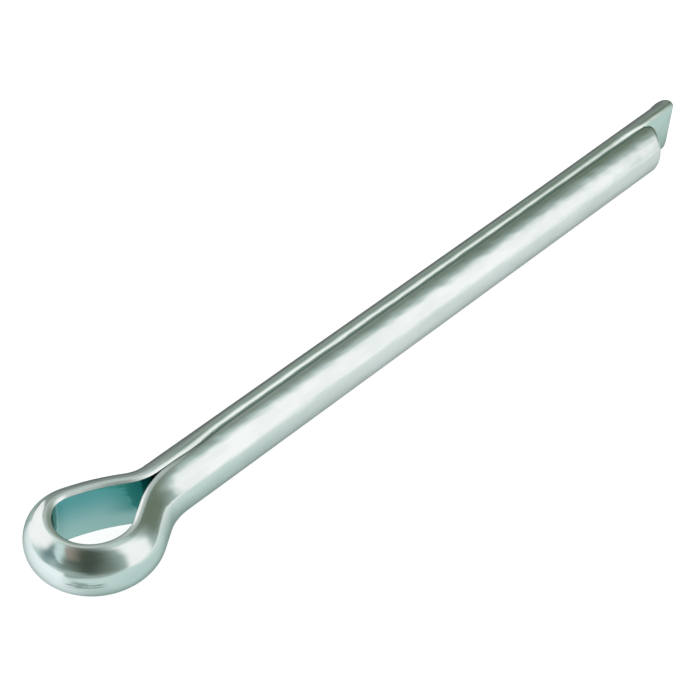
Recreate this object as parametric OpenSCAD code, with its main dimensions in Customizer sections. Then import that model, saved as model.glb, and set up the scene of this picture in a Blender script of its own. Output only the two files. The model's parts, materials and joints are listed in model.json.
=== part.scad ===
// Cotter pin: one length of half-round wire folded into an eye, with two legs that lie flat to flat as a
// round shank. The pin lies in the XY plane. +X runs along the shank towards the tips, +Y points from the
// short leg to the long one, and the origin is on the shank's axis where the shank turns fully round.

/* [Shank] */
// Diameter of the two legs together
shank_d = 5.65; // [4.2:0.05:7]
// Length from the seat under the eye to the end of the short leg
pin_length = 76.2; // [20:0.1:150]
// How much further the long leg reaches than the short one
leg_difference = 4.9; // [1:0.1:15]
// Gap left between the flats of the two legs
seam = 0.1; // [0.05:0.01:0.4]

/* [Eye] */
// Width over the outside of the eye
eye_w = 12.8; // [11:0.1:17]
// How far the seat lies above the place where the shank turns fully round
seat_rise = 3.1; // [1:0.1:6]
// Bend radius of the neck on the long leg, like the others measured at the wire's flat
long_neck_r = 5.2; // [4:0.05:7]
// Bend radius of the neck on the short leg
short_neck_r = 9.4; // [6:0.05:12]
// Length of the straight side between the crown and the short leg's neck
short_side = 2.5; // [1:0.1:4]
// Bend radius of the corner between the crown and the long, gently bowed side
corner_r = 2.25; // [1:0.05:4]

/* [Wire] */
// Rounding of the wire's two long edges
edge_r = 0.4; // [0.1:0.05:0.6]

/* [Tips] */
// Lean of the sheared ends, so that each leg is longer at the top than underneath
shear_angle = 10; // [0:1:20]
// Turn of the sheared ends seen from above, towards the short leg's side
skew_angle = 17; // [0:1:20]
// Rounding of the corner underneath each tip
tip_corner_r = 0.9; // [0.2:0.1:1.5]
// Rounding of the rim round the back of each tip
tip_rim_r = 0.4; // [0.1:0.05:0.8]

/* [Hidden] */
$fn = 96;

shank_r = shank_d / 2;
short_leg = pin_length - seat_rise;
long_leg = short_leg + leg_difference;

// The wire turns only by angles whose sine and cosine end after two decimals, and every radius is a whole
// number of hundredths, so each piece of the bend starts exactly where the one before it ends.
turn_16 = atan2(7, 24);
turn_37 = atan2(3, 4);
turn_53 = atan2(4, 3);
short_slope = 2 * turn_16;
long_slope = turn_37;
bow_slope = long_slope - turn_16;
function hundredths(v) = round(v * 100) / 100;

// The crown is a half circle. With the corner beside it, it spans the eye's width.
crown_r = hundredths((eye_w - shank_d - corner_r * (1 - cos(short_slope))) / (1 + cos(short_slope)));

// The wire climbs from the shank's axis on one side as far as it falls on the other. The bowed side's radius
// closes the loop to a hundredth, and the straight side takes up what is left.
neck_climb = long_neck_r * (1 - cos(long_slope)) + short_neck_r * (1 - cos(short_slope));
crown_fall = 2 * crown_r * cos(short_slope) + corner_r * (cos(bow_slope) - cos(short_slope));
bow_share = cos(bow_slope) - cos(long_slope);
bow_r = hundredths((crown_fall - neck_climb - short_side * sin(short_slope)) / bow_share);
closing_side = (crown_fall - neck_climb - bow_r * bow_share) / sin(short_slope);

// From the short leg's neck round the eye, as [radius, turn] bends and one [length] straight.
eye_path = [
    [short_neck_r, turn_16], [short_neck_r, turn_16], [closing_side],
    [crown_r, -180], [corner_r, -turn_53], [bow_r, -turn_16], [long_neck_r, turn_37]
];
// The long leg's neck ends this much nearer to the eye than the short leg's.
neck_stagger = short_neck_r * sin(short_slope) + closing_side * cos(short_slope)
    + 2 * crown_r * sin(short_slope) - corner_r * (sin(bow_slope) + sin(short_slope))
    - bow_r * (sin(long_slope) - sin(bow_slope)) - long_neck_r * sin(long_slope);

// The last stretch of each leg, which is shaped by the shear.
tip_run = shank_d;
// The rim's rounding runs out into the back of the leg at this slope.
rim_slope = 30;

// Corners are cut with circles that overrun both of their edges a little, to meet them in clean lines.
overrun = cos(10);

// What a rounded corner loses: c is the circle's centre, n1 and n2 point square out of the two edges.
module corner_waste(c, n1, n2, r) {
    reach = 2 * r;
    difference() {
        polygon([c, c + reach * n1, c + reach * (n1 + n2) / (1 + n1 * n2), c + reach * n2]);
        translate(c) circle(r);
    }
}

// Section of the wire: half a disc on +x with its flat half a seam away from the centre.
module half_round() {
    inset = seam / 2 + overrun * edge_r;
    centre = [inset, sqrt(pow(shank_r - overrun * edge_r, 2) - pow(inset, 2))];
    difference() {
        intersection() {
            circle(shank_r);
            translate([seam / 2, -shank_r]) square([shank_r, shank_d]);
        }
        for (side = [0, 1]) mirror([0, side])
            corner_waste(centre, [-1, 0], centre / norm(centre), edge_r);
    }
}

// The wire runs along its own +x, with its round side on its left and the flat on its right.
module straight(length) {
    rotate([90, 0, 90]) linear_extrude(length) half_round();
}

// Wedge that keeps one turn out of a full ring; it opens from +x by the given angle, up to 180 degrees.
module sector(turn) {
    far = 100;
    linear_extrude(2 * shank_d, center = true)
        polygon([[0, 0], for (i = [0:3]) far * [cos(turn * i / 3), sin(turn * i / 3)]]);
}

// One bend of the wire: left for a positive turn, right for a negative one.
module bend(r, turn) {
    left = turn > 0;
    translate([0, left ? r : -r, 0]) rotate(left ? -90 : 90) intersection() {
        rotate_extrude() translate([r, 0]) mirror([left ? 1 : 0, 0]) half_round();
        sector(turn);
    }
}

// Draws its children where the bend ends.
module past_bend(r, turn) {
    translate([r * sin(abs(turn)), sign(turn) * r * (1 - cos(turn)), 0]) rotate(turn) children();
}

// Follows a list of [radius, turn] bends and [length] straights, and draws its children at the end.
module wire(path, i = 0) {
    if (i == len(path)) children();
    else if (len(path[i]) == 1) {
        straight(path[i][0]);
        translate([path[i][0], 0, 0]) wire(path, i + 1) children();
    }
    else {
        bend(path[i][0], path[i][1]);
        past_bend(path[i][0], path[i][1]) wire(path, i + 1) children();
    }
}

// Outline of the room that the sheared end leaves round the leg's axis, with the end at the top.
module rim_outline() {
    rim_r = shank_r - tip_rim_r * tan(rim_slope);
    depth = 2 * tip_run;
    out = [0, 1];
    side = [cos(rim_slope), sin(rim_slope)];
    centre = [rim_r, 0] - overrun * tip_rim_r * (out + side) / (1 + out * side);
    difference() {
        polygon([[0, 0], [rim_r, 0], [rim_r + depth * tan(rim_slope), -depth], [0, -depth]]);
        corner_waste(centre, out, side, tip_rim_r);
    }
}

// The corner that is rounded off under the end, seen from the side.
module heel_waste() {
    heel = [-shank_r * tan(shear_angle), -shank_r];
    down = [0, -1];
    out = [cos(shear_angle), -sin(shear_angle)];
    centre = heel - overrun * tip_corner_r * (down + out) / (1 + down * out);
    corner_waste(centre, down, out, tip_corner_r);
}

// The room behind a sheared end that looks along +x, round the shank's axis.
module end_room() {
    difference() {
        rotate([0, 90 + shear_angle, 0]) rotate_extrude() rim_outline();
        rotate([90, 0, 0]) linear_extrude(4 * shank_r, center = true) heel_waste();
    }
}

// A leg that starts at the origin and runs along +x; its length is taken on the shank's axis.
module leg(length, end_turn) {
    straight(length - tip_run);
    translate([length - tip_run, 0, 0]) intersection() {
        straight(2 * tip_run);
        translate([tip_run, 0, 0]) rotate(end_turn) end_room();
    }
}

module pin() {
    color("silver") {
        mirror([0, 1, 0]) leg(short_leg, skew_angle);
        rotate(180) wire(eye_path) leg(long_leg + neck_stagger, -skew_angle);
    }
}

pin();
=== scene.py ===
"""A zinc-plated cotter pin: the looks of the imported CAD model, for Blender 4.5.

The pin is one length of half-round wire, so its mesh is one sweep: a half-round section that follows the
wire from the short leg's tip, round the eye, to the long leg's tip. Lengths are in millimetres, and MM
turns them into Blender's metres. Only the floor's width and the camera's clipping are in metres.
"""

import json
import math

import bpy
from mathutils import Matrix, Vector


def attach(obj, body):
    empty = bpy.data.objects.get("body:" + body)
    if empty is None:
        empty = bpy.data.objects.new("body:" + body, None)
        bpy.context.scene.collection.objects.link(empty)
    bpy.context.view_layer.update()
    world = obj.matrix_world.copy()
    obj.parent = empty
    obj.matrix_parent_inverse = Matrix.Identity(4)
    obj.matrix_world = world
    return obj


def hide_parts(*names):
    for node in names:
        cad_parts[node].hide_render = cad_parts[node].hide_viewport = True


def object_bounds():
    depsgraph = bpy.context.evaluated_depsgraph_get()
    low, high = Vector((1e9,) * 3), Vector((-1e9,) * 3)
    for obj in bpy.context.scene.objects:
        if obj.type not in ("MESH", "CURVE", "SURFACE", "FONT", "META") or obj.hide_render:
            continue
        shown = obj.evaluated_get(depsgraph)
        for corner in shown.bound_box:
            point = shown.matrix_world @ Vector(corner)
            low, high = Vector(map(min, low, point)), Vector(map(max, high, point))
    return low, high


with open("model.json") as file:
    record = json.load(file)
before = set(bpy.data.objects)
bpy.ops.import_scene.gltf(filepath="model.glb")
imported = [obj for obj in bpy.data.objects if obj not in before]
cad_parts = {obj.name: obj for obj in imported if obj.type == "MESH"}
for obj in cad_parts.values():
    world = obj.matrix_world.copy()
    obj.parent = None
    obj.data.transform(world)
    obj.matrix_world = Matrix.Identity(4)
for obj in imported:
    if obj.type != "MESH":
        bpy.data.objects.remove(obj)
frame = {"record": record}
CAD_LOW, CAD_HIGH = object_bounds()
MM = 0.001

# --- The wire's sizes, as in the CAD model ---------------------------------------------------------------
SHANK_R = frame["record"]["mounts"][0]["dims"]["r_mm"]
EYE_W = 12.8
SHORT_LEG = 73.1
LONG_LEG = 78.0
LONG_NECK_R = 5.2
SHORT_NECK_R = 9.4
SHORT_SIDE = 2.5
CORNER_R = 2.25
TURN_16 = math.atan2(7, 24)
TURN_37 = math.atan2(3, 4)
TURN_53 = math.atan2(4, 3)
SHORT_SLOPE = 2 * TURN_16
LONG_SLOPE = TURN_37
BOW_SLOPE = LONG_SLOPE - TURN_16

# Finer than in the CAD model: the gap between the legs, how far the wire's back lies inside the CAD's back,
# and the tight corner where an edge meets the flat.
SEAM = 0.06
SKIN = 0.015
BACK_R = SHANK_R - SKIN
EDGE_R = 0.06

# --- The wire's edges ------------------------------------------------------------------------------------
# Each edge is a shoulder and a bevel, as (shoulder radius, bevel width, slope where they meet). The upper
# edge is crisp on the short leg and worn wide on the long one.
SHORT_EDGE = (0.34, 0.0, math.radians(60))
EYE_EDGE = (0.7, 0.14, math.radians(32))
LONG_EDGE = (0.65, 0.42, math.radians(50))
LOW_EDGE = (0.5, 0.0, math.radians(60))
SHORT_TIP_EDGE = (0.8, 0.0, math.radians(60))
LONG_TIP_EDGE = (0.6, 0.0, math.radians(50))
# Over this length of a leg, its upper edge changes into the eye's.
EDGE_BLEND = 8.0

# --- The sheared tips ------------------------------------------------------------------------------------
SHEAR_ANGLE = math.radians(10)
SKEW_ANGLE = math.radians(17)
END_RISE = math.tan(SHEAR_ANGLE) / math.cos(SKEW_ANGLE)
END_SKEW = math.tan(SKEW_ANGLE)
TIP_RUN = 2 * SHANK_R
# How far the rim round an end face is drawn in at the flat.
FLAT_RIM = 0.06
# Roundings of an end face: underneath, on top, and at the back of the long leg.
HEEL_R = 0.9
TOE_R = 0.2
FACE_R = 1.8
# A rounding is followed down to this share of its radius, so that it doesn't end square to the face.
ROUNDING_SHARE = 0.98
# The long leg has sprung open by this much at its tip, and less and less over the run behind it.
LEG_SPRING = 0.15
SPRING_RUN = 24.0

# --- How finely the wire is meshed -----------------------------------------------------------------------
BACK_STEPS = 56
SHOULDER_STEPS = 8
EDGE_STEPS = 4
FLAT_STEPS = 12
SECTION_POINTS = BACK_STEPS + FLAT_STEPS + 2 * (SHOULDER_STEPS + EDGE_STEPS + 1)
# A shoulder is fully worn this many steps after it leaves the back.
WORN_STEPS = 2
BEND_STEP = math.radians(3.0)
SIDE_STEP = 0.5
STRAIGHT_STEP = 1.2
TIP_STEP = 0.25
RIM_STEPS = 8


def blend(a, b, share):
    """The values of a, of b, or in between them, for a share from 0 to 1."""
    return tuple(u + (v - u) * share for u, v in zip(a, b))


def fade(distance, run):
    """1 up to a distance of 0, 0 from a run onwards, and smooth between them."""
    left = min(1.0, max(0.0, 1 - distance / run))
    return left * left * (3 - 2 * left)


class Tip:
    """One leg's end: its length, its side of the seam, its upper edge, and how the shear shaped it.

    rim is (length, depth), pressed is (upper edge, run that it holds for, run that it fades over), and
    flare is (width, run).
    """

    def __init__(self, length, side, edge, rim, pressed, flare):
        self.length, self.side, self.edge = length, side, edge
        self.rim_length, self.rim_depth = rim
        self.pressed_edge, self.pressed_run, self.fade_run = pressed
        self.flare, self.flare_run = flare

    def edge_at(self, behind):
        """The upper edge, this far behind the end."""
        return blend(self.edge, self.pressed_edge, fade(behind - self.pressed_run, self.fade_run))

    def side_step(self, behind):
        """How far the leg has sprung open, this far behind its end."""
        return LEG_SPRING * fade(behind, SPRING_RUN) if self.side > 0 else 0.0


SHORT_TIP = Tip(
    SHORT_LEG, -1, SHORT_EDGE, rim=(0.5, 0.3), pressed=(SHORT_TIP_EDGE, 0.0, 1.2), flare=(0.0, 1.0)
)
LONG_TIP = Tip(
    LONG_LEG, 1, LONG_EDGE, rim=(0.25, 0.15), pressed=(LONG_TIP_EDGE, 4.4, 5.0), flare=(0.2, 1.1)
)


def eye_path():
    """The wire between the legs' straight runs, as ("bend", radius, turn) and ("straight", length)."""
    spread = 1 + math.cos(SHORT_SLOPE)
    crown_r = round((EYE_W - 2 * SHANK_R - CORNER_R * (1 - math.cos(SHORT_SLOPE))) / spread, 2)
    climb = LONG_NECK_R * (1 - math.cos(LONG_SLOPE)) + SHORT_NECK_R * (1 - math.cos(SHORT_SLOPE))
    fall = 2 * crown_r * math.cos(SHORT_SLOPE) + CORNER_R * (math.cos(BOW_SLOPE) - math.cos(SHORT_SLOPE))
    share = math.cos(BOW_SLOPE) - math.cos(LONG_SLOPE)
    bow_r = round((fall - climb - SHORT_SIDE * math.sin(SHORT_SLOPE)) / share, 2)
    side = (fall - climb - bow_r * share) / math.sin(SHORT_SLOPE)
    return [
        ("bend", SHORT_NECK_R, SHORT_SLOPE),
        ("straight", side),
        ("bend", crown_r, -math.pi),
        ("bend", CORNER_R, -TURN_53),
        ("bend", bow_r, -TURN_16),
        ("bend", LONG_NECK_R, TURN_37),
    ]


class Station:
    """One place along the wire: where it is, its heading, and how far it is from the wire's first end."""

    def __init__(self, x, y, heading, run):
        self.x, self.y, self.heading, self.run = x, y, heading, run

    def moved(self, ahead, left, turn, run):
        """The station that lies ahead and to the left of this one, and heads turned from it."""
        c, s = math.cos(self.heading), math.sin(self.heading)
        x = self.x + ahead * c - left * s
        y = self.y + ahead * s + left * c
        return Station(x, y, self.heading + turn, self.run + run)

    def point(self, out, z):
        """A point of the section: out is square to the wire on its left, the round side."""
        return (self.x - out * math.sin(self.heading), self.y + out * math.cos(self.heading), z)


def straight_steps(length):
    """The move to each station along a straight piece, as (ahead, left, turn, run)."""
    count = round(length / SIDE_STEP)
    return [(length * k / count, 0, 0, length * k / count) for k in range(1, count + 1)]


def bend_steps(radius, turn):
    """The move to each station along a bend, which goes left for a positive turn."""
    count = math.ceil(abs(turn) / BEND_STEP)
    side = math.copysign(1, turn)
    steps = []
    for k in range(1, count + 1):
        angle = abs(turn) * k / count
        left = side * radius * (1 - math.cos(angle))
        steps.append((radius * math.sin(angle), left, side * angle, radius * angle))
    return steps


def along_eye(start):
    """Stations round the eye, after the one at the end of the short leg's straight run."""
    stations = []
    for kind, *sizes in eye_path():
        steps = straight_steps(*sizes) if kind == "straight" else bend_steps(*sizes)
        stations += [start.moved(*step) for step in steps]
        start = stations[-1]
    return stations


def upper_edge(back_r, inner, edge):
    """The section's upper edge, from the back to the flat, as (out, z, worn, flat) points.

    A worn shoulder runs on from the back, and a bevel leads from it to a tight corner at the flat.
    """
    shoulder_r, bevel, slope = edge
    shoulder_end = math.pi / 2 + slope
    c, s = math.cos(shoulder_end), math.sin(shoulder_end)
    out = inner + EDGE_R - (shoulder_r - EDGE_R) * c + bevel
    z = math.sqrt((back_r - shoulder_r) ** 2 - out**2)
    start = math.atan2(z, out)
    points = []
    for k in range(SHOULDER_STEPS + 1):
        angle = start + (shoulder_end - start) * k / SHOULDER_STEPS
        at = (out + shoulder_r * math.cos(angle), z + shoulder_r * math.sin(angle))
        points.append((*at, min(1.0, k / WORN_STEPS), 0.0))
    corner_z = z + (shoulder_r - EDGE_R) * s + bevel * c / s
    for k in range(EDGE_STEPS + 1):
        share = k / EDGE_STEPS
        angle = shoulder_end + (math.pi - shoulder_end) * share
        at = (inner + EDGE_R + EDGE_R * math.cos(angle), corner_z + EDGE_R * math.sin(angle))
        points.append((*at, 1 - share, share))
    return points


def section(edge, back_r=BACK_R, inner=SEAM / 2):
    """The half-round section as (out, z, worn, flat) points; the last two are shares from 0 to 1."""
    top = upper_edge(back_r, inner, edge)
    low = [(out, -z, worn, flat) for out, z, worn, flat in reversed(upper_edge(back_r, inner, LOW_EDGE))]
    top_end = math.atan2(top[0][1], top[0][0])
    low_end = math.atan2(low[-1][1], low[-1][0])
    points = []
    for k in range(1, BACK_STEPS):
        angle = low_end + (top_end - low_end) * k / BACK_STEPS
        points.append((back_r * math.cos(angle), back_r * math.sin(angle), 0.0, 0.0))
    points += top
    for k in range(1, FLAT_STEPS):
        points.append((inner, top[-1][1] + (low[0][1] - top[-1][1]) * k / FLAT_STEPS, 0.0, 1.0))
    return points + low


def rounding(height, radius):
    """How far a rounded corner lies behind the end face, at this height from the corner's own edge."""
    inside = max(0.0, radius - height)
    return radius - math.sqrt(radius**2 - min(inside, ROUNDING_SHARE * radius) ** 2)


def tip_ring(tip, behind, rim_share):
    """One ring of a tip, this far behind its face; rim_share is 1 at the face and 0 past the rim."""
    back_r = BACK_R - tip.rim_depth * rim_share
    outline = section(tip.edge_at(behind), back_r, SEAM / 2 + FLAT_RIM * rim_share)
    sheared = max(0.0, 1 - behind / TIP_RUN)
    flare = tip.flare * fade(behind, tip.flare_run)
    points = []
    for out, z, *shares in outline:
        corner = rounding(z + BACK_R, HEEL_R) + rounding(BACK_R - z, TOE_R)
        if tip.side > 0:
            corner += rounding(BACK_R - out, FACE_R)
        x = tip.length - behind + sheared * (z * END_RISE + tip.side * out * END_SKEW - corner)
        spread = out + tip.side_step(behind) + flare * math.sqrt(max(0.0, out / BACK_R))
        points.append((x, tip.side * spread, z))
    return points, outline


def shank_ring(tip, x):
    """One ring of a leg's plain run, where its edge changes from the leg's into the eye's."""
    behind = tip.length - x
    outline = section(blend(tip.edge_at(behind), EYE_EDGE, fade(x, EDGE_BLEND)))
    step = tip.side_step(behind)
    return [(x, tip.side * (out + step), z) for out, z, *shares in outline], outline


def leg_rings(tip):
    """Rings of a leg from its tip to its root, each as (points, outline)."""
    rings = []
    for k in range(RIM_STEPS):
        angle = math.pi / 2 * k / RIM_STEPS
        rings.append(tip_ring(tip, tip.rim_length * (1 - math.cos(angle)), 1 - math.sin(angle)))
    count = math.ceil((TIP_RUN - tip.rim_length) / TIP_STEP)
    for k in range(count + 1):
        rings.append(tip_ring(tip, tip.rim_length + (TIP_RUN - tip.rim_length) * k / count, 0.0))
    count = math.ceil((tip.length - TIP_RUN) / STRAIGHT_STEP)
    for k in range(1, count):
        rings.append(shank_ring(tip, (tip.length - TIP_RUN) * (1 - k / count)))
    return rings


class Sweep:
    """Collects rings of section points and the skin between them."""

    def __init__(self):
        self.verts, self.faces, self.drawn, self.worn, self.flat = [], [], [], [], []
        self.ring = None

    def add_ring(self, points, runs, outline):
        """points are places in space, runs their distances along the wire, outline the section's points."""
        first = len(self.verts)
        self.verts += points
        self.drawn += [(run, out, z) for run, (out, z, *shares) in zip(runs, outline)]
        self.worn += [worn for out, z, worn, flat in outline]
        self.flat += [flat for out, z, worn, flat in outline]
        if self.ring is not None:
            for k in range(SECTION_POINTS):
                after = (k + 1) % SECTION_POINTS
                self.faces.append((self.ring + k, self.ring + after, first + after, first + k))
        self.ring = first

    def close(self, at_start):
        """Closes the last ring, or the first one, with a fan round a middle point."""
        first = 0 if at_start else self.ring
        ring = range(first, first + SECTION_POINTS)
        middle = len(self.verts)
        for values in (self.verts, self.drawn):
            values.append(tuple(sum(values[v][axis] for v in ring) / SECTION_POINTS for axis in range(3)))
        self.worn.append(0.0)
        self.flat.append(0.0)
        for k in range(SECTION_POINTS):
            a, b = first + k, first + (k + 1) % SECTION_POINTS
            self.faces.append((middle, b, a) if at_start else (middle, a, b))


def sweep_wire():
    """The skin of the whole wire from the short leg's tip on, and the run at which its long leg begins."""
    sweep = Sweep()
    for points, outline in leg_rings(SHORT_TIP):
        sweep.add_ring(points, [SHORT_LEG - x for x, y, z in points], outline)
    root = Station(0.0, 0.0, math.pi, SHORT_LEG)
    stations = [root] + along_eye(root)
    end = stations[-1]
    outline = section(EYE_EDGE)
    for station in stations:
        points = [station.point(out, z) for out, z, *shares in outline]
        sweep.add_ring(points, [station.run] * SECTION_POINTS, outline)
    for points, outline in reversed(leg_rings(LONG_TIP)):
        if points[0][0] > end.x:
            sweep.add_ring(points, [end.run + x - end.x for x, y, z in points], outline)
    sweep.close(at_start=True)
    sweep.close(at_start=False)
    return sweep, end.run


def build_wire():
    """The whole wire as one mesh object, and the run at which its long leg begins."""
    sweep, long_root = sweep_wire()
    mesh = bpy.data.meshes.new("cotter_pin_wire")
    mesh.from_pydata([tuple(c * MM for c in v) for v in sweep.verts], [], sweep.faces)
    drawn = mesh.attributes.new("drawn", "FLOAT_VECTOR", "POINT")
    drawn.data.foreach_set("vector", [c for v in sweep.drawn for c in v])
    for name, shares in (("worn", sweep.worn), ("flat", sweep.flat)):
        mesh.attributes.new(name, "FLOAT", "POINT").data.foreach_set("value", shares)
    mesh.polygons.foreach_set("use_smooth", [True] * len(mesh.polygons))
    mesh.update()
    wire = bpy.data.objects.new("cotter_pin_wire", mesh)
    bpy.context.scene.collection.objects.link(wire)
    return wire, long_root


# --- Shader nodes ----------------------------------------------------------------------------------------
class Nodes:
    """Short ways to add and link shader nodes. Ends are (where a change starts, where it ends)."""

    def __init__(self, tree):
        self.tree = tree
        tree.nodes.clear()

    def add(self, kind, **settings):
        node = self.tree.nodes.new(kind)
        for name, value in settings.items():
            setattr(node, name, value)
        return node

    def link(self, source, target):
        self.tree.links.new(source, target)

    def feed(self, socket, value):
        """Sets a socket to a number or colour, or links another socket to it."""
        if isinstance(value, bpy.types.NodeSocket):
            self.link(value, socket)
        else:
            socket.default_value = value

    def math(self, operation, a, b=0.0):
        node = self.add("ShaderNodeMath", operation=operation)
        self.feed(node.inputs[0], a)
        self.feed(node.inputs[1], b)
        return node.outputs[0]

    def vector(self, operation, a, b):
        node = self.add("ShaderNodeVectorMath", operation=operation)
        self.feed(node.inputs[0], a)
        self.feed(node.inputs[1], b)
        return node.outputs["Value" if operation == "DOT_PRODUCT" else "Vector"]

    def attribute(self, name, output):
        return self.add("ShaderNodeAttribute", attribute_name=name).outputs[output]

    def axes(self, place):
        """The sockets X, Y and Z of a place."""
        node = self.add("ShaderNodeSeparateXYZ")
        self.link(place, node.inputs[0])
        return node.outputs

    def ramp(self, value, ends, origin=0.0):
        """0 before the first end, 1 past the second, and smooth between; both count from the origin."""
        node = self.add("ShaderNodeMapRange", interpolation_type="SMOOTHSTEP")
        self.feed(node.inputs["Value"], value)
        node.inputs["From Min"].default_value = origin + ends[0]
        node.inputs["From Max"].default_value = origin + ends[1]
        return node.outputs["Result"]

    def near(self, value, middle, ends):
        """A ramp of the value's distance from a middle."""
        return self.ramp(self.math("ABSOLUTE", self.math("SUBTRACT", value, middle)), ends)

    def span(self, value, ends):
        """A plain straight change from the first end to the second, as the value goes from 0 to 1."""
        node = self.add("ShaderNodeMapRange")
        self.feed(node.inputs["Value"], value)
        node.inputs["To Min"].default_value = ends[0]
        node.inputs["To Max"].default_value = ends[1]
        return node.outputs["Result"]

    def noise(self, place, along, across, detail):
        """Noise with one scale along X and another across it."""
        node = self.add("ShaderNodeTexNoise")
        self.feed(node.inputs["Vector"], self.vector("MULTIPLY", place, (along, across, across)))
        node.inputs["Scale"].default_value = 1.0
        node.inputs["Detail"].default_value = detail
        return node.outputs["Fac"]

    def mix(self, share, a, b):
        node = self.add("ShaderNodeMix", data_type="RGBA")
        for name, value in (("Factor_Float", share), ("A_Color", a), ("B_Color", b)):
            self.feed(next(s for s in node.inputs if s.identifier == name), value)
        return next(s for s in node.outputs if s.identifier == "Result_Color")


def rgb(r, g, b):
    return (r, g, b, 1.0)


# --- The zinc plate --------------------------------------------------------------------------------------
ZINC = rgb(0.66, 0.755, 0.73)
ZINC_DULL = rgb(0.6, 0.7, 0.67)
ZINC_EDGE = rgb(0.5, 0.54, 0.53)
MARK = rgb(0.22, 0.27, 0.26)
# Painted shade along the short leg's shoulders, where they lie in the seam between the legs.
PAINTED_SEAM_SHADE = rgb(0.26, 0.34, 0.3)
# The shoulders' colour and added roughness, in the eye and on the long leg. The shoulders are worn, and in
# the eye their lighter colour is also a painted highlight along the edges.
WORN_AND_SHEEN = rgb(0.86, 0.95, 0.93)
WORN_LEG = rgb(0.66, 0.77, 0.72)
WORN_ROUGHNESS = (0.22, 0.09)
# The film on the flats: high and low in the eye, at the crown, in the long leg's neck, and on the legs. Its
# darker tint high in the eye and in the neck is painted shade, and its lighter tint low in the eye and at
# the crown is painted light.
FILM_SHADED_HIGH = rgb(0.18, 0.49, 0.52)
FILM_LIT_LOW = rgb(0.54, 0.76, 0.75)
FILM_LIT_CROWN = rgb(0.66, 0.95, 0.88)
FILM_SHADED_NECK = rgb(0.08, 0.36, 0.34)
FILM_LEG = rgb(0.51, 0.7, 0.65)

# Where the plate changes along the wire, counted from where the eye starts.
WEAR_STARTS = (-5.0, 1.0)
SHORT_LEG_ENDS = (3.0, -1.0)
CROWN_STARTS = (4.0, 10.0)
CROWN_ENDS = (20.5, 19.3)
# The same, counted from where the eye ends.
NECK_STARTS = (-6.0, -2.0)
LONG_LEG_STARTS = (-1.0, 3.0)
# Where the film's painted shade changes with height, in the eye and in the neck, and the shares of the flat
# between which the film sets in.
FILM_RISE = (-2.2, 2.2)
NECK_RISE = (-1.6, -0.2)
FILM_SETS_IN = (0.45, 1.0)

# Noise that lies along the wire, as (scale along it, scale across it, detail).
TEXTURES = {
    "lines": (0.12, 5.0, 3.0),
    "fine": (0.5, 18.0, 2.0),
    "clouds": (0.16, 0.55, 2.0),
    "dents": (0.35, 0.9, 1.0),
    "streaks": (0.14, 2.3, 1.0),
    "smudge": (1.0, 6.5, 2.0),
}
DULL_CLOUDS = (0.35, 0.7)
LINES_ROUGHNESS = (0.06, 0.17)
CLOUDS_ROUGHNESS = (-0.02, 0.05)
# How high each texture stands in the relief, in steps of RELIEF_STEP.
RELIEF = {"lines": 0.9, "fine": 0.18, "dents": 14.0, "streaks": 2.5}
RELIEF_STEP = 0.004

# The bending tool's dark marks: their place as a share of the eye's run, their height, and where they end
# to the sides, up and down, and within the smudge texture.
MARK_PLACE = 0.44
MARK_HEIGHT = 0.1
MARK_SIDE_ENDS = (1.3, 0.7)
MARK_HEIGHT_ENDS = (0.5, 0.2)
MARK_SMUDGE = (0.45, 0.58)
MARK_SHARE = 0.7
MARK_ROUGHNESS = 0.1


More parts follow.
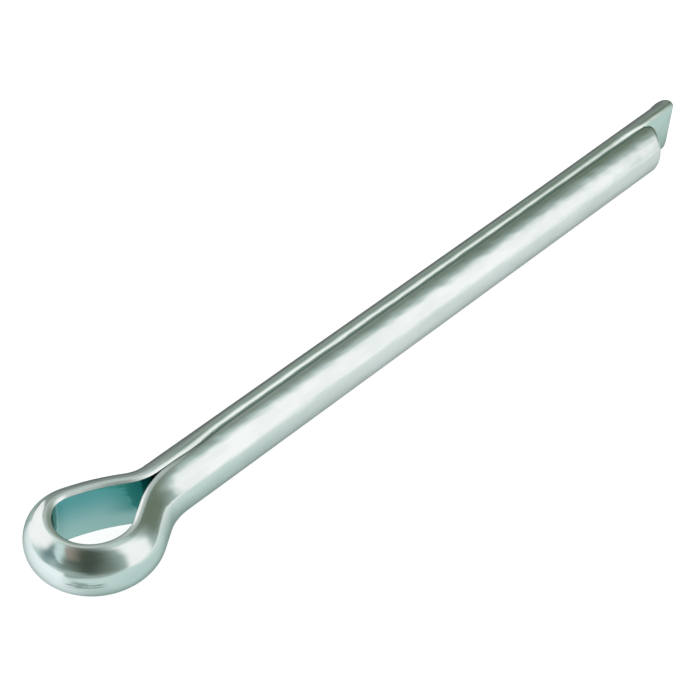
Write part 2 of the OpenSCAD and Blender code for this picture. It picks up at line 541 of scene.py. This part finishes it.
class Plate:
    """What the zinc reads off the wire: how far along and how high it is, its wear, parts and textures."""

    def __init__(self, nodes, eye_start, eye_end):
        self.nodes, self.eye_start, self.eye_end = nodes, eye_start, eye_end
        drawn = nodes.attribute("drawn", "Vector")
        axes = nodes.axes(drawn)
        self.run, self.height = axes["X"], axes["Z"]
        self.textures = {name: nodes.noise(drawn, *texture) for name, texture in TEXTURES.items()}
        self.flat = nodes.attribute("flat", "Fac")
        self.long_leg = nodes.ramp(self.run, LONG_LEG_STARTS, eye_end)
        self.short_leg = nodes.ramp(self.run, SHORT_LEG_ENDS, eye_start)
        # The short leg's shoulders lie in the seam and get painted shade there. All others are worn, and in
        # the eye their lighter colour is also a painted highlight.
        shoulder = nodes.attribute("worn", "Fac")
        past_leg = nodes.ramp(self.run, WEAR_STARTS, eye_start)
        self.worn = nodes.math("MULTIPLY", shoulder, past_leg)
        self.painted_seam_shade = nodes.math("MULTIPLY", shoulder, nodes.math("SUBTRACT", 1.0, past_leg))
        self.mark = self.tool_mark()

    def tool_mark(self):
        """Short dark marks on the crown's outer face."""
        nodes = self.nodes
        place = self.eye_start + MARK_PLACE * (self.eye_end - self.eye_start)
        mark = nodes.near(self.run, place, MARK_SIDE_ENDS)
        mark = nodes.math("MULTIPLY", mark, nodes.near(self.height, MARK_HEIGHT, MARK_HEIGHT_ENDS))
        mark = nodes.math("MULTIPLY", mark, nodes.ramp(self.textures["smudge"], MARK_SMUDGE))
        return nodes.math("MULTIPLY", mark, nodes.math("SUBTRACT", 1.0, self.flat))

    def film_light_and_shade(self):
        """The film's tint on the flats, which changes with the height and along the wire: painted shade
        high in the eye and in the long leg's neck, painted light low in the eye and at the crown.
        """
        nodes = self.nodes
        # Darker high in the eye and lighter low down: painted shade and painted light on the film.
        tint = nodes.mix(nodes.ramp(self.height, FILM_RISE), FILM_LIT_LOW, FILM_SHADED_HIGH)
        # Lighter at the crown: painted light on the film.
        crown = nodes.ramp(self.run, CROWN_STARTS, self.eye_start)
        crown = nodes.math("MULTIPLY", crown, nodes.ramp(self.run, CROWN_ENDS, self.eye_start))
        tint = nodes.mix(crown, tint, FILM_LIT_CROWN)
        # Darker in the long leg's neck: painted shade on the film.
        neck = nodes.ramp(self.run, NECK_STARTS, self.eye_end)
        neck = nodes.math("MULTIPLY", neck, nodes.ramp(self.height, NECK_RISE))
        tint = nodes.mix(neck, tint, FILM_SHADED_NECK)
        return nodes.mix(nodes.math("MAXIMUM", self.long_leg, self.short_leg), tint, FILM_LEG)

    def colour(self):
        """Cloudy zinc on the back, with marks, worn shoulders that are also a painted highlight in the eye,
        painted shade in the seam, and film with painted shade and light on the flats.
        """
        nodes = self.nodes
        back = nodes.mix(nodes.ramp(self.textures["clouds"], DULL_CLOUDS), ZINC, ZINC_DULL)
        back = nodes.mix(nodes.math("MULTIPLY", self.mark, MARK_SHARE), back, MARK)
        # Worn shoulders; in the eye their lighter colour is also a painted highlight along the edges.
        back = nodes.mix(self.worn, back, nodes.mix(self.long_leg, WORN_AND_SHEEN, WORN_LEG))
        # Painted shade in the seam, on the short leg's shoulders.
        back = nodes.mix(self.painted_seam_shade, back, PAINTED_SEAM_SHADE)
        return nodes.mix(nodes.ramp(self.flat, FILM_SETS_IN), back, self.film_light_and_shade())

    def roughness(self):
        """Drawn lines and clouds, and duller where the plate is marked or worn."""
        nodes = self.nodes
        total = nodes.span(self.textures["lines"], LINES_ROUGHNESS)
        total = nodes.math("ADD", total, nodes.span(self.textures["clouds"], CLOUDS_ROUGHNESS))
        total = nodes.math("ADD", total, nodes.math("MULTIPLY", self.mark, MARK_ROUGHNESS))
        worn = nodes.span(self.long_leg, WORN_ROUGHNESS)
        return nodes.math("ADD", total, nodes.math("MULTIPLY", self.worn, worn))

    def normal(self):
        """Drawn lines, streaks and shallow dents."""
        nodes = self.nodes
        relief = 0.0
        for name, height in RELIEF.items():
            relief = nodes.math("ADD", relief, nodes.math("MULTIPLY", self.textures[name], height))
        bump = nodes.add("ShaderNodeBump")
        bump.inputs["Strength"].default_value = 1.0
        bump.inputs["Distance"].default_value = RELIEF_STEP * MM
        nodes.link(relief, bump.inputs["Height"])
        return bump.outputs["Normal"]


def zinc(eye_start, eye_end):
    """Zinc plate with drawn lines along the wire, and a thicker, bluer film on the flats inside the eye,
    with painted shade and light on the film.
    """
    material = bpy.data.materials.new("zinc_plated_steel")
    material.use_nodes = True
    nodes = Nodes(material.node_tree)
    out = nodes.add("ShaderNodeOutputMaterial")
    shader = nodes.add("ShaderNodeBsdfPrincipled")
    nodes.link(shader.outputs["BSDF"], out.inputs["Surface"])
    shader.inputs["Metallic"].default_value = 1.0
    shader.inputs["Specular Tint"].default_value = ZINC_EDGE
    plate = Plate(nodes, eye_start, eye_end)
    nodes.link(plate.colour(), shader.inputs["Base Color"])
    nodes.link(plate.roughness(), shader.inputs["Roughness"])
    nodes.link(plate.normal(), shader.inputs["Normal"])
    return material


# --- The studio ------------------------------------------------------------------------------------------
SKY = rgb(0.75, 0.85, 0.84)
FAR_WALL = rgb(0.39, 0.41, 0.39)
DARK_WALL = rgb(0.19, 0.225, 0.17)
ROOM = rgb(0.22, 0.26, 0.23)
DARK_ROOM = rgb(0.085, 0.1, 0.08)
WARM_STRIP = rgb(0.42, 0.32, 0.27)
BLUE_WALL = rgb(0.21, 0.3, 0.32)
SOFTBOX = rgb(1.37, 1.24, 1.26)
PALE_STRIP = rgb(0.85, 0.97, 0.98)

# Painted on the sky in this order, each over the ones before it. The corners are (azimuth, elevation,
# softness of the side that starts there).
SKY_PANELS = [
    (FAR_WALL, [(26, -5, 0.07), (89, -5, 0.05), (72, 43, 0.02), (-2, 60, 0.31)]),
    (DARK_WALL, [(-37, -5, 0.45), (44, -5, 0.18), (26, 60, 0.34), (-28, 48, 0.45)]),
    (ROOM, [(165, 5, 0.32), (-94, -5, 0.45), (21, 78, 0.04), (109, 77, 0.29), (156, 37, 0.13)]),
    (DARK_ROOM, [(-154, 3, 0.29), (-133, -3, 0.36), (-111, 53, 0.23), (57, 60, 0.02), (163, 54, 0.32)]),
    (WARM_STRIP, [(163, 50, 0.18), (-173, 50, 0.16), (64, 62, 0.05), (75, 60, 0.02), (124, 62, 0.02)]),
    (BLUE_WALL, [(132, -5, 0.06), (149, -5, 0.38), (167, 27, 0.04), (98, 55, 0.22), (112, 46, 0.05)]),
    (SOFTBOX, [(67, -5, 0.04), (112, -5, 0.18), (133, 33, 0.09), (119, 49, 0.02), (86, 55, 0.02)]),
    (SOFTBOX, [(-89, -5, 0.03), (-35, -5, 0.17), (-31, 31, 0.13), (12, 63, 0.04), (21, 80, 0.09)]),
    (PALE_STRIP, [(168, 20, 0.04), (172, 20, 0.1), (150, 55, 0.08), (96, 63, 0.04), (100, 57, 0.03)]),
]


def towards(azimuth, elevation):
    """Unit vector at an azimuth from +X towards +Y, and an elevation above the floor, in degrees."""
    a, e = math.radians(azimuth), math.radians(elevation)
    return Vector((math.cos(a) * math.cos(e), math.sin(a) * math.cos(e), math.sin(e)))


def panel(nodes, direction, corners):
    """1 inside a convex outline on the sky and 0 outside; the azimuth rises along the outline's bottom."""
    mask = 1.0
    sides = [(towards(azimuth, elevation), soft) for azimuth, elevation, soft in corners]
    for (a, soft), (b, _) in zip(sides, sides[1:] + sides[:1]):
        depth = nodes.vector("DOT_PRODUCT", direction, a.cross(b).normalized())
        mask = nodes.math("MULTIPLY", nodes.ramp(depth, (-soft, soft)), mask)
    return mask


def make_world():
    world = bpy.data.worlds.new("studio")
    bpy.context.scene.world = world
    world.use_nodes = True
    nodes = Nodes(world.node_tree)
    out = nodes.add("ShaderNodeOutputWorld")
    background = nodes.add("ShaderNodeBackground")
    nodes.link(background.outputs[0], out.inputs["Surface"])
    direction = nodes.add("ShaderNodeTexCoord").outputs["Generated"]
    colour = SKY
    for light, corners in SKY_PANELS:
        colour = nodes.mix(panel(nodes, direction, corners), colour, light)
    nodes.feed(background.inputs["Color"], colour)


# --- The floor -------------------------------------------------------------------------------------------
FLOOR_WIDTH = 6.0
FLOOR_PAPER = rgb(0.55, 0.55, 0.55)
FLOOR_WHITE = rgb(1.0, 1.0, 1.0)
FLOOR_GLOW = 0.85

# The light that the metal mirrors, part by part: round the eye, on the eye's -Y side, far past the crown on
# that side, and close past the crown on the +Y side. Then beside the shank: near on the -Y side, far off on
# that side, and on the +Y side.
MIRRORED_GLOW = rgb(0.36, 0.44, 0.43)
MIRRORED_RIM = rgb(0.48, 0.58, 0.58)
MIRRORED_DIM = rgb(0.1, 0.13, 0.12)
MIRRORED_CROWN = rgb(0.9, 0.88, 0.93)
MIRRORED_POOL = rgb(0.67, 0.65, 0.66)
MIRRORED_FAR = rgb(0.87, 0.82, 0.83)
MIRRORED_SHADE = rgb(0.03, 0.03, 0.03)

# Where the change to each of them starts and ends, along X or along Y.
RIM_Y = (-3.5, -8.0)
DIM_X = (-22.0, -60.0)
DIM_Y = (2.0, -10.0)
CROWN_X = (-11.0, -15.0)
CROWN_Y = (-6.0, 0.0)
POOL_X = (-5.0, 28.0)
FAR_Y = (-8.0, -45.0)
SHADE_X = (-4.0, 3.0)
SHADE_Y = (-4.0, 4.0)


def mirrored_floor(nodes):
    """The floor's light as the metal sees it."""
    place = nodes.axes(nodes.add("ShaderNodeTexCoord").outputs["Object"])

    def change(axis, ends):
        return nodes.ramp(place[axis], [end * MM for end in ends])

    def corner(x_ends, y_ends):
        return nodes.math("MULTIPLY", change("X", x_ends), change("Y", y_ends))

    by_eye = nodes.mix(change("Y", RIM_Y), MIRRORED_GLOW, MIRRORED_RIM)
    by_eye = nodes.mix(corner(DIM_X, DIM_Y), by_eye, MIRRORED_DIM)
    by_eye = nodes.mix(corner(CROWN_X, CROWN_Y), by_eye, MIRRORED_CROWN)
    by_shank = nodes.mix(change("Y", FAR_Y), MIRRORED_POOL, MIRRORED_FAR)
    light = nodes.mix(change("X", POOL_X), by_eye, by_shank)
    return nodes.mix(corner(SHADE_X, SHADE_Y), light, MIRRORED_SHADE)


def floor_paper():
    """Pale paper that keeps the object's shadow and glows for the camera and for the metal."""
    material = bpy.data.materials.new("floor_paper")
    material.use_nodes = True
    nodes = Nodes(material.node_tree)
    out = nodes.add("ShaderNodeOutputMaterial")
    paper = nodes.add("ShaderNodeBsdfDiffuse")
    paper.inputs["Color"].default_value = FLOOR_PAPER
    glow = nodes.add("ShaderNodeEmission")
    both = nodes.add("ShaderNodeAddShader")
    path = nodes.add("ShaderNodeLightPath")
    seen = path.outputs["Is Camera Ray"]
    mirrored = nodes.math("MAXIMUM", path.outputs["Is Glossy Ray"], path.outputs["Is Transmission Ray"])
    nodes.feed(glow.inputs["Color"], nodes.mix(seen, mirrored_floor(nodes), FLOOR_WHITE))
    strength = nodes.math("MAXIMUM", nodes.math("MULTIPLY", seen, FLOOR_GLOW), mirrored)
    nodes.feed(glow.inputs["Strength"], strength)
    nodes.link(paper.outputs[0], both.inputs[0])
    nodes.link(glow.outputs[0], both.inputs[1])
    nodes.link(both.outputs[0], out.inputs["Surface"])
    return material


def make_floor():
    """A wide square of paper that the pin lies on."""
    mesh = bpy.data.meshes.new("floor")
    half, z = FLOOR_WIDTH / 2, CAD_LOW.z
    corners = [(-half, -half, z), (half, -half, z), (half, half, z), (-half, half, z)]
    mesh.from_pydata(corners, [], [(0, 1, 2, 3)])
    mesh.materials.append(floor_paper())
    floor = bpy.data.objects.new("floor", mesh)
    bpy.context.scene.collection.objects.link(floor)


# --- The camera ------------------------------------------------------------------------------------------
CAMERA_AZIMUTH = 47.5
CAMERA_DROP = 39.35
CAMERA_ROLL = -0.8
CAMERA_TARGET = (25.31, 0.98, 0.0)
CAMERA_DISTANCE = 220.2
CLIP_START = 0.005
SENSOR = 36.0
LENS = 115.95


def make_camera():
    azimuth, drop, roll = (math.radians(a) for a in (CAMERA_AZIMUTH, CAMERA_DROP, CAMERA_ROLL))
    c, s = math.cos(drop), math.sin(drop)
    ahead = Vector((c * math.sin(azimuth), c * math.cos(azimuth), -s))
    level = Vector((math.cos(azimuth), -math.sin(azimuth), 0.0))
    over = level.cross(ahead)
    right = math.cos(roll) * level + math.sin(roll) * over
    up = math.cos(roll) * over - math.sin(roll) * level
    data = bpy.data.cameras.new("camera")
    data.sensor_width = SENSOR
    data.lens = LENS
    data.clip_start = CLIP_START
    camera = bpy.data.objects.new("camera", data)
    bpy.context.scene.collection.objects.link(camera)
    place = (Vector(CAMERA_TARGET) - ahead * CAMERA_DISTANCE) * MM
    camera.matrix_world = Matrix.Translation(place) @ Matrix((right, up, -ahead)).transposed().to_4x4()
    bpy.context.scene.camera = camera


make_camera()
bpy.context.scene.view_settings.view_transform = "Standard"
pin, long_root = build_wire()
pin.data.materials.append(zinc(SHORT_LEG, long_root))
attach(pin, "root")
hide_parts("pin")
make_world()
make_floor()
